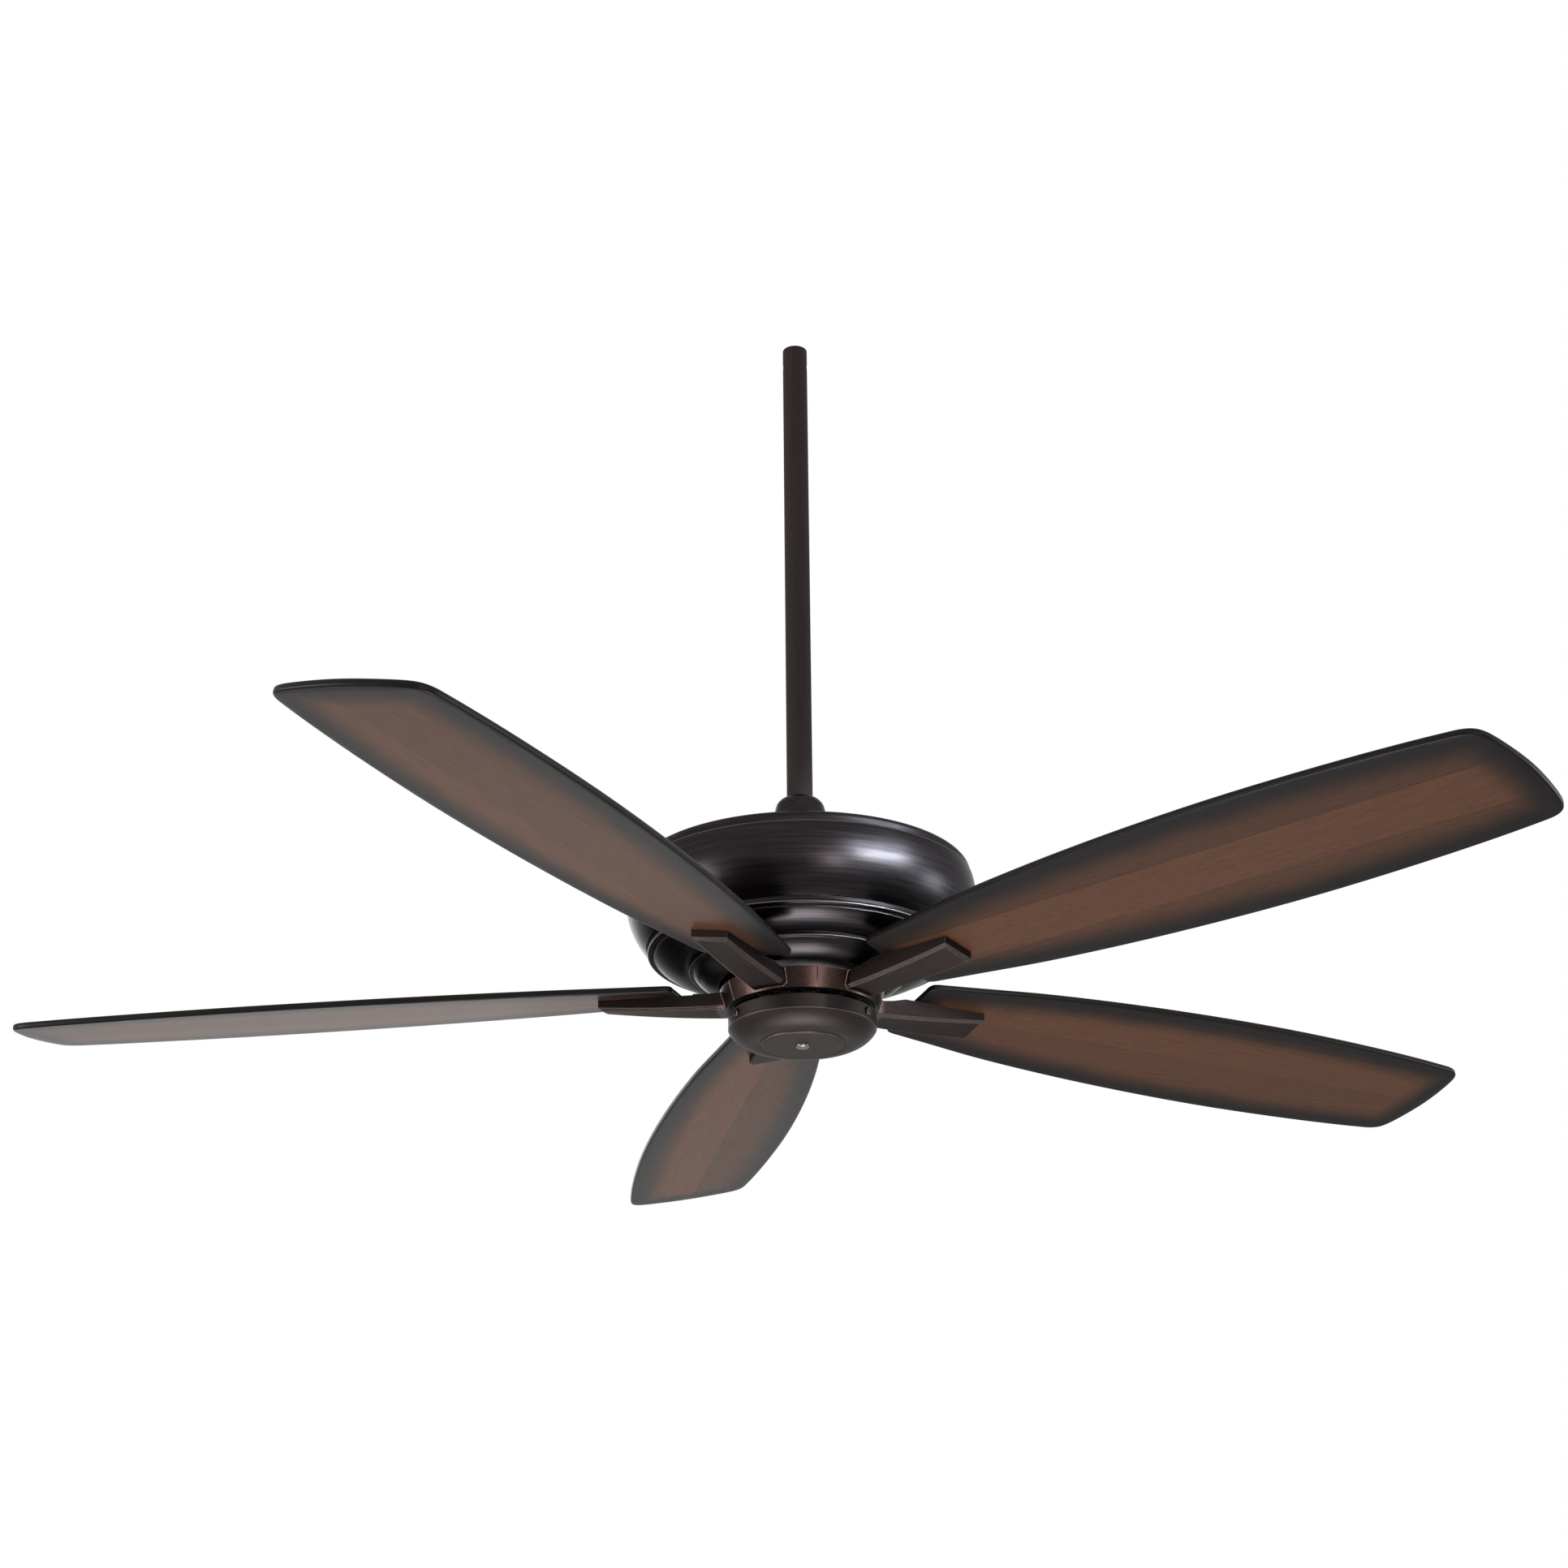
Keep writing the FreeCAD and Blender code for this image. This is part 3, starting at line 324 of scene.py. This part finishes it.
# Blades: veneered boards with rounded edges, stained walnut and sprayed charcoal
# round the border, each screwed down on its arm through fibre washers.
blade_root = 0.118
blade_tip = 0.764
blade_half_width = 0.084
blade_thickness = 0.006
blade_edge = 0.002
blade_level = -0.7
blade_rise = 0.0095
blade_pitch = math.radians(10.8)
blade_droop = math.radians(0.6)
first_azimuth = math.radians(28.9)
side_shares = (
    (0.0, 0.0), (0.0, 0.2), (0.0, 0.4), (0.0, 0.475), (0.003, 0.53), (0.0095, 0.556), (0.03, 0.585),
    (0.08, 0.65), (0.2, 0.8), (0.4, 0.945), (0.62, 1.0), (0.82, 0.945), (0.94, 0.863), (0.97, 0.825),
    (0.982, 0.77), (0.989, 0.68), (0.996, 0.41), (1.0, 0.0))
curve_steps = 6
edge_segments = 4
lengthwise_cuts = 50
crosswise_cuts = 27
crease_angle = math.radians(40)
board_step = 0.4125
strip_width = 0.058
strip_turn = 2.4
strip_tones = ((0.0, (0.76, 0.77, 0.79)), (1.0, (1.14, 1.12, 1.08)))
seam_width = 0.0008
seam_strength = 0.5
seam_colour = (0.02, 0.01, 0.007)
heart_shift = 0.03
figure_stretch = 0.085
figure_settings = {"Scale": 48.0, "Distortion": 9.0, "Detail": 2.0, "Detail Scale": 22.0}
walnut_tones = (
    (0.0, (0.08, 0.0335, 0.0176)), (0.22, (0.101, 0.0425, 0.022)), (1.0, (0.108, 0.046, 0.0238)))
streak_stretch = (3.0, 190.0)
streak_tones = ((0.35, (0.95, 0.947, 0.944)), (0.6, (1.02, 1.02, 1.02)))
pore_stretch = (22.0, 900.0)
pore_tones = ((0.36, (0.84, 0.82, 0.8)), (0.5, (1.0, 1.0, 1.0)))
pore_depth = 0.00004
mist_stretch = (22.0, 22.0)
spray_waver = 0.005
spray_full = 0.0085
spray_end = 0.045
charcoal_tones = ((0.3, (0.0075, 0.0055, 0.005)), (0.7, (0.0105, 0.0082, 0.0074)))


def smooth_loop(points):
    # Points of a closed curve through the given ones, with even speed between neighbours
    count = len(points)
    knots = [0.0]
    for index in range(count):
        knots.append(knots[-1] + (points[(index + 1) % count] - points[index]).length ** 0.5)

    def slope(index):
        before = points[index - 1]
        here = points[index % count]
        after = points[(index + 1) % count]
        back = (here - before).length ** 0.5
        ahead = (after - here).length ** 0.5
        return (here - before) / back - (after - before) / (back + ahead) + (after - here) / ahead

    loop = []
    for index in range(count):
        start = points[index]
        end = points[(index + 1) % count]
        length = knots[index + 1] - knots[index]
        leave = slope(index) * length
        arrive = slope(index + 1) * length
        for step in range(curve_steps):
            t = step / curve_steps
            loop.append(start * (2 * t**3 - 3 * t**2 + 1) + leave * (t**3 - 2 * t**2 + t)
                        + end * (3 * t**2 - 2 * t**3) + arrive * (t**3 - t**2))
    return loop


def select_edges(mesh, wanted):
    bpy.ops.object.mode_set(mode="OBJECT")
    for part in (mesh.vertices, mesh.edges, mesh.polygons):
        part.foreach_set("select", [False] * len(part))
    for edge in mesh.edges:
        edge.select = wanted(edge)
    bpy.ops.object.mode_set(mode="EDIT")


def cut_through(place, direction):
    bpy.ops.mesh.select_all(action="SELECT")
    bpy.ops.mesh.bisect(plane_co=place, plane_no=direction)


def outline_distance(point, loop):
    nearest = math.inf
    for start, end in zip(loop, loop[1:] + loop[:1]):
        along = end - start
        share = max(0.0, min(1.0, (point - start).dot(along) / along.length_squared))
        nearest = min(nearest, (point - start - along * share).length)
    return nearest


def shape_blade():
    length = blade_tip - blade_root
    side = [Vector((blade_root + length * x, blade_half_width * y)) for x, y in side_shares]
    outline = smooth_loop(side + [Vector((p.x, -p.y)) for p in reversed(side[1:-1])])
    bpy.ops.object.select_all(action="DESELECT")
    bpy.ops.mesh.primitive_circle_add(vertices=len(outline), radius=blade_half_width, fill_type="NGON")
    blade = bpy.context.object
    mesh = blade.data
    for vertex, place in zip(mesh.vertices, outline):
        vertex.co = (place.x, place.y, -blade_thickness / 2)
    bpy.ops.object.mode_set(mode="EDIT")
    bpy.ops.mesh.select_mode(type="EDGE")
    bpy.ops.mesh.select_all(action="SELECT")
    bpy.ops.mesh.extrude_region_move(TRANSFORM_OT_translate={"value": (0, 0, blade_thickness)})
    bpy.ops.mesh.select_all(action="SELECT")
    bpy.ops.mesh.normals_make_consistent(inside=False)

    def on_rim(edge):
        low, high = (mesh.vertices[index].co.z for index in edge.vertices)
        return abs(low - high) < blade_edge

    select_edges(mesh, on_rim)
    bpy.ops.mesh.bevel(offset=blade_edge, segments=edge_segments, affect="EDGES")
    for cut in range(1, lengthwise_cuts):
        cut_through((blade_root + length * cut / lengthwise_cuts, 0, 0), (1, 0, 0))
    for cut in range(1, crosswise_cuts):
        cut_through((0, blade_half_width * (2 * cut / crosswise_cuts - 1), 0), (0, 1, 0))
    bpy.ops.mesh.select_all(action="SELECT")
    bpy.ops.mesh.normals_make_consistent(inside=False)
    bpy.ops.object.mode_set(mode="OBJECT")
    bpy.ops.object.shade_smooth_by_angle(angle=crease_angle)
    depth = mesh.attributes.new("edge_depth", "FLOAT", "POINT")
    for vertex, value in zip(mesh.vertices, depth.data):
        value.value = outline_distance(vertex.co.xy, outline)
    return blade


def walnut_burst():
    material, tree, shader = new_finish("walnut_burst")
    flat = add_node(tree, "ShaderNodeUVMap", uv_map="board").outputs["UV"]

    def board_noise(stretch, detail, roughness=0.5):
        node = add_node(tree, "ShaderNodeMapping")
        node.inputs["Scale"].default_value = (*stretch, 1.0)
        tree.links.new(flat, node.inputs["Vector"])
        return noise(tree, node.outputs["Vector"], 1.0, detail, roughness)

    # Each strip of veneer has its own shade, and rings about a heart of its own
    along, across = split_place(tree, flat)[:2]
    strip = maths(tree, "FLOOR", maths(tree, "DIVIDE", across, strip_width))
    chance = add_node(tree, "ShaderNodeTexWhiteNoise", noise_dimensions="1D")
    tree.links.new(strip, chance.inputs["W"])
    shift, sideways = split_place(tree, chance.outputs["Color"])[:2]
    shade = span(tree, maths(tree, "SINE", maths(tree, "MULTIPLY", strip, strip_turn)), 1.0, 0.0, -1.0, 1.0)
    strip_middle = maths(tree, "MULTIPLY", maths(tree, "ADD", strip, 0.5), strip_width)
    off_middle = maths(tree, "SUBTRACT", across, strip_middle)
    heart = maths(tree, "ADD", off_middle, span(tree, sideways, -heart_shift, heart_shift))
    reach = maths(tree, "MULTIPLY", maths(tree, "SUBTRACT", along, shift), figure_stretch)
    figure = add_node(tree, "ShaderNodeTexWave", wave_type="RINGS", rings_direction="Z")
    for socket, value in figure_settings.items():
        figure.inputs[socket].default_value = value
    tree.links.new(join_place(tree, reach, heart), figure.inputs["Vector"])
    streaks = board_noise(streak_stretch, detail=4.0, roughness=0.6)
    pores = board_noise(pore_stretch, detail=2.0, roughness=0.6)
    tone = ramp(tree, figure.outputs["Fac"], walnut_tones)
    for value, tones in ((shade, strip_tones), (streaks, streak_tones), (pores, pore_tones)):
        tone = blend_colour(tree, 1.0, tone, ramp(tree, value, tones), "MULTIPLY")
    seam = maths(tree, "COMPARE", off_middle, strip_width / 2, seam_width)
    tone = blend_colour(tree, maths(tree, "MULTIPLY", seam, seam_strength), tone, seam_colour)

    # The sprayed border fades out over the distance from the board's outline
    depth = add_node(tree, "ShaderNodeAttribute", attribute_name="edge_depth").outputs["Fac"]
    mist = board_noise(mist_stretch, detail=3.0)
    depth = maths(tree, "ADD", depth, span(tree, mist, -spray_waver, spray_waver))
    spray = add_node(tree, "ShaderNodeMapRange", interpolation_type="SMOOTHSTEP")
    spray.inputs["From Min"].default_value = spray_full
    spray.inputs["From Max"].default_value = spray_end
    tree.links.new(depth, spray.inputs["Value"])
    charcoal = ramp(tree, streaks, charcoal_tones)
    tree.links.new(blend_colour(tree, spray.outputs["Result"], charcoal, tone), shader.inputs["Base Color"])
    tree.links.new(span(tree, pores, 0.44, 0.32), shader.inputs["Roughness"])
    shader.inputs["Specular IOR Level"].default_value = 0.11
    relief(tree, shader, pores, pore_depth)
    return material


blade_finish = walnut_burst()
blade_master = shape_blade()
for index in range(blade_count):
    blade = blade_master.copy()
    blade.data = blade_master.data.copy()
    blade.name = "veneered_blade_" + str(index + 1)
    bpy.context.collection.objects.link(blade)
    board = blade.data.uv_layers.new(name="board")
    for loop, place in zip(blade.data.loops, board.data):
        flat = blade.data.vertices[loop.vertex_index].co
        place.uv = (flat.x, flat.y + board_step * index)
    turn = Matrix.Rotation(first_azimuth + index * math.tau / blade_count, 4, "Z")
    tilt = Matrix.Translation((0, 0, blade_level)) @ Matrix.Rotation(-blade_pitch, 4, "X")
    lean = Matrix.Translation((0, 0, blade_rise)) @ Matrix.Rotation(blade_droop, 4, "Y")
    blade.data.transform(turn @ tilt @ lean)
    blade.data.materials.append(blade_finish)
    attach(blade, "rotor")
    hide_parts("blade_" + str(index + 1))
bpy.data.objects.remove(blade_master)
fibre = grained_finish(
    "fibre", dark=(0.03, 0.022, 0.02), light=(0.05, 0.036, 0.03), metallic=0.0,
    grain_scale=900.0, rough=(0.7, 0.9), depth=0.0001)
dress(fibre, "blade_washers")
dress(screw_black, "blade_screws")


# Bottom cap: a spun steel dish under the hub, held by three rim screws to a zinc plate
# on the shaft that also carries the capacitor, with a small button in the middle of its
# raised disc. The dish is brushed round the axis and rubbed along its rim; a pale ring
# round the disc's edge is a painted highlight.
cap_rim = (-0.7325, 0.0004)
# Painted highlight: a pale ring round the edge of the raised disc
disc_edge_highlight = (0.0386, 0.0006)
cap_bronze = rubbed_bronze(
    "cap_bronze", dark=(0.029, 0.0235, 0.022), light=(0.041, 0.034, 0.0315), rub_and_highlight=(0.13, 0.1, 0.09),
    stretch=(0.006, 1.0, 1.0), mark_scale=800.0, rough=(0.46, 0.56), rim_tint=0.9, edge_width=0.0006,
    height_lines=(cap_rim,), radius_lines=(disc_edge_highlight,))
dress(cap_bronze, "bottom_cap")
dress(zinc_plate, "cap_plate")
dress(bright_steel, "shaft_nuts", "shaft_washer")
cap_screw_bronze = rubbed_bronze(
    "cap_screw_bronze", dark=(0.05, 0.04, 0.036), light=(0.1, 0.08, 0.07), rub_and_highlight=(0.3, 0.25, 0.22),
    stretch=(0.05, 1.0, 1.0), mark_scale=600.0, rough=(0.22, 0.34), rim_tint=0.9, edge_width=0.0005)
dress(cap_screw_bronze, "cap_screws")
button_metal = grained_finish(
    "button_metal", dark=(0.17, 0.145, 0.13), light=(0.25, 0.215, 0.195), metallic=1.0,
    grain_scale=900.0, rough=(0.25, 0.4), depth=0.00003)
dress(button_metal, "cap_plug")
capacitor_plastic = grained_finish(
    "capacitor_plastic", dark=(0.018, 0.018, 0.019), light=(0.03, 0.03, 0.031), metallic=0.0,
    grain_scale=700.0, rough=(0.4, 0.6), depth=0.00006)
dress(capacitor_plastic, "run_capacitor")


# Studio: a wide pale floor a little over two metres below the blades, soft lamps and
# a white surround, seen by a camera that looks up at the fan from below.
floor_level = -2.8
floor_size = 16.0
floor_tones = ((0.3, (0.8, 0.8, 0.8)), (0.7, (0.84, 0.84, 0.84)))
bpy.ops.mesh.primitive_plane_add(size=floor_size, location=(0, 0, floor_level))
floor = bpy.context.object
floor.name = "floor"
floor_paint, floor_tree, floor_shader = new_finish("floor_paint")
floor_cloud = noise(floor_tree, object_place(floor_tree), 3.0, detail=4.0)
floor_tree.links.new(ramp(floor_tree, floor_cloud, floor_tones), floor_shader.inputs["Base Color"])
floor_shader.inputs["Roughness"].default_value = 0.7
floor.data.materials.append(floor_paint)

# The surround is white where it is seen or reflected, and dimmer as a light
surround_light = 0.4
surround_white = 1.0
world = bpy.data.worlds.new("studio")
world.use_nodes = True
bpy.context.scene.world = world
sky = world.node_tree
sky.nodes.clear()
path_kind = add_node(sky, "ShaderNodeLightPath").outputs
seen = maths(sky, "ADD", path_kind["Is Camera Ray"], path_kind["Is Glossy Ray"])
seen = maths(sky, "MINIMUM", maths(sky, "ADD", seen, path_kind["Is Transmission Ray"]), 1.0)
choose = add_node(sky, "ShaderNodeMixShader")
sky.links.new(seen, choose.inputs[0])
for socket, strength in zip(choose.inputs[1:], (surround_light, surround_white)):
    surround = add_node(sky, "ShaderNodeBackground")
    surround.inputs["Color"].default_value = (1.0, 1.0, 1.0, 1.0)
    surround.inputs["Strength"].default_value = strength
    sky.links.new(surround.outputs[0], socket)
sky.links.new(choose.outputs[0], add_node(sky, "ShaderNodeOutputWorld").inputs["Surface"])


def hang_lamp(data, place, aim_level, colour, power):
    data.color = colour
    data.energy = power
    lamp = bpy.data.objects.new(data.name, data)
    lamp.visible_camera = False
    lamp.location = place
    lamp.rotation_euler = (Vector((0, 0, aim_level)) - Vector(place)).to_track_quat("-Z", "Y").to_euler()
    bpy.context.collection.objects.link(lamp)
    return lamp


# Name, kind, place, size, power and colour: a card shows only as a highlight on the finishes,
# a fill only lights their colour, and all point at the middle of the housing
bowl_level = -0.615
for lamp_name, lamp_kind, lamp_place, lamp_size, lamp_power, lamp_colour in (
        ("right_card", "card", (2.9, 0.1, -0.86), 0.7, 30.0, (0.8, 0.92, 1.0)),
        ("floor_card", "card", (0.0, 0.42, -2.6), 0.6, 17.0, (0.93, 0.95, 1.0)),
        ("front_card", "card", (1.35, -3.4, -1.4), 0.7, 36.0, (1.0, 0.96, 0.95)),
        ("left_card", "card", (-2.9, -1.0, -1.2), 1.1, 60.0, (0.97, 0.98, 1.0)),
        ("key_lamp", "fill", (2.4, -2.0, 0.2), 1.2, 60.0, (0.97, 0.99, 1.0)),
        ("left_lamp", "fill", (-2.7, -1.1, -0.3), 1.2, 40.0, (0.97, 0.98, 1.0)),
        ("floor_lamp", "both", (0.0, 0.0, -2.45), 0.7, 15.5, (0.97, 0.98, 1.0)),
        ("back_lamp", "both", (-1.2, 2.6, 0.3), 1.6, 15.0, (1.0, 1.0, 1.0))):
    lamp_data = bpy.data.lights.new(lamp_name, "AREA")
    lamp_data.size = lamp_size
    lamp = hang_lamp(lamp_data, lamp_place, bowl_level, lamp_colour, lamp_power)
    lamp.visible_diffuse = lamp_kind != "card"
    lamp.visible_glossy = lamp_kind != "fill"

# Name, middle, aim, steps, cone angle, flatness and power of two rows of narrow beams, which put the
# broad highlight on the housing and the hub and mostly pass the blades
beam_colour = (0.78, 0.92, 1.0)
beam_radius = 0.05
beam_step = Vector((0.2, 0.25, 0.064))
for row_name, row_middle, row_aim, row_steps, row_angle, row_flatness, row_power in (
        ("low_beam_", (2.25, -1.8, -0.42), -0.594, (-2, -1, 0, 1, 2), 10.0, 0.46, 220.0),
        ("high_beam_", (2.05, -1.7, 0.2), -0.69, (-2, 0, 2), 11.0, 1.0, 55.0)):
    for number, step in enumerate(row_steps, 1):
        beam_data = bpy.data.lights.new(row_name + str(number), "SPOT")
        beam_data.spot_size = math.radians(row_angle)
        beam_data.spot_blend = 1.0
        beam_data.shadow_soft_size = beam_radius
        beam_place = Vector(row_middle) + beam_step * step
        lamp = hang_lamp(beam_data, beam_place, row_aim, beam_colour, row_power)
        lamp.scale = (1.0, row_flatness, 1.0)
        lamp.visible_diffuse = False

camera_place = Vector((0, -2.31568, -1.48852))
camera_yaw = math.radians(-0.38)
camera_rise = math.radians(23.552)
camera_roll = math.radians(-0.5)
camera_data = bpy.data.cameras.new("camera")
camera_data.lens = 59.14
camera_data.sensor_width = 36.0
camera = bpy.data.objects.new("camera", camera_data)
bpy.context.collection.objects.link(camera)
ahead = Vector((math.sin(camera_yaw) * math.cos(camera_rise),
                math.cos(camera_yaw) * math.cos(camera_rise), math.sin(camera_rise)))
level_right = Vector((math.cos(camera_yaw), -math.sin(camera_yaw), 0))
level_up = level_right.cross(ahead)
right = level_right * math.cos(camera_roll) + level_up * math.sin(camera_roll)
upward = level_up * math.cos(camera_roll) - level_right * math.sin(camera_roll)
facing = Matrix((right, upward, -ahead)).transposed().to_4x4()
camera.matrix_world = Matrix.Translation(camera_place) @ facing
bpy.context.scene.camera = camera
bpy.context.scene.view_settings.view_transform = "Standard"
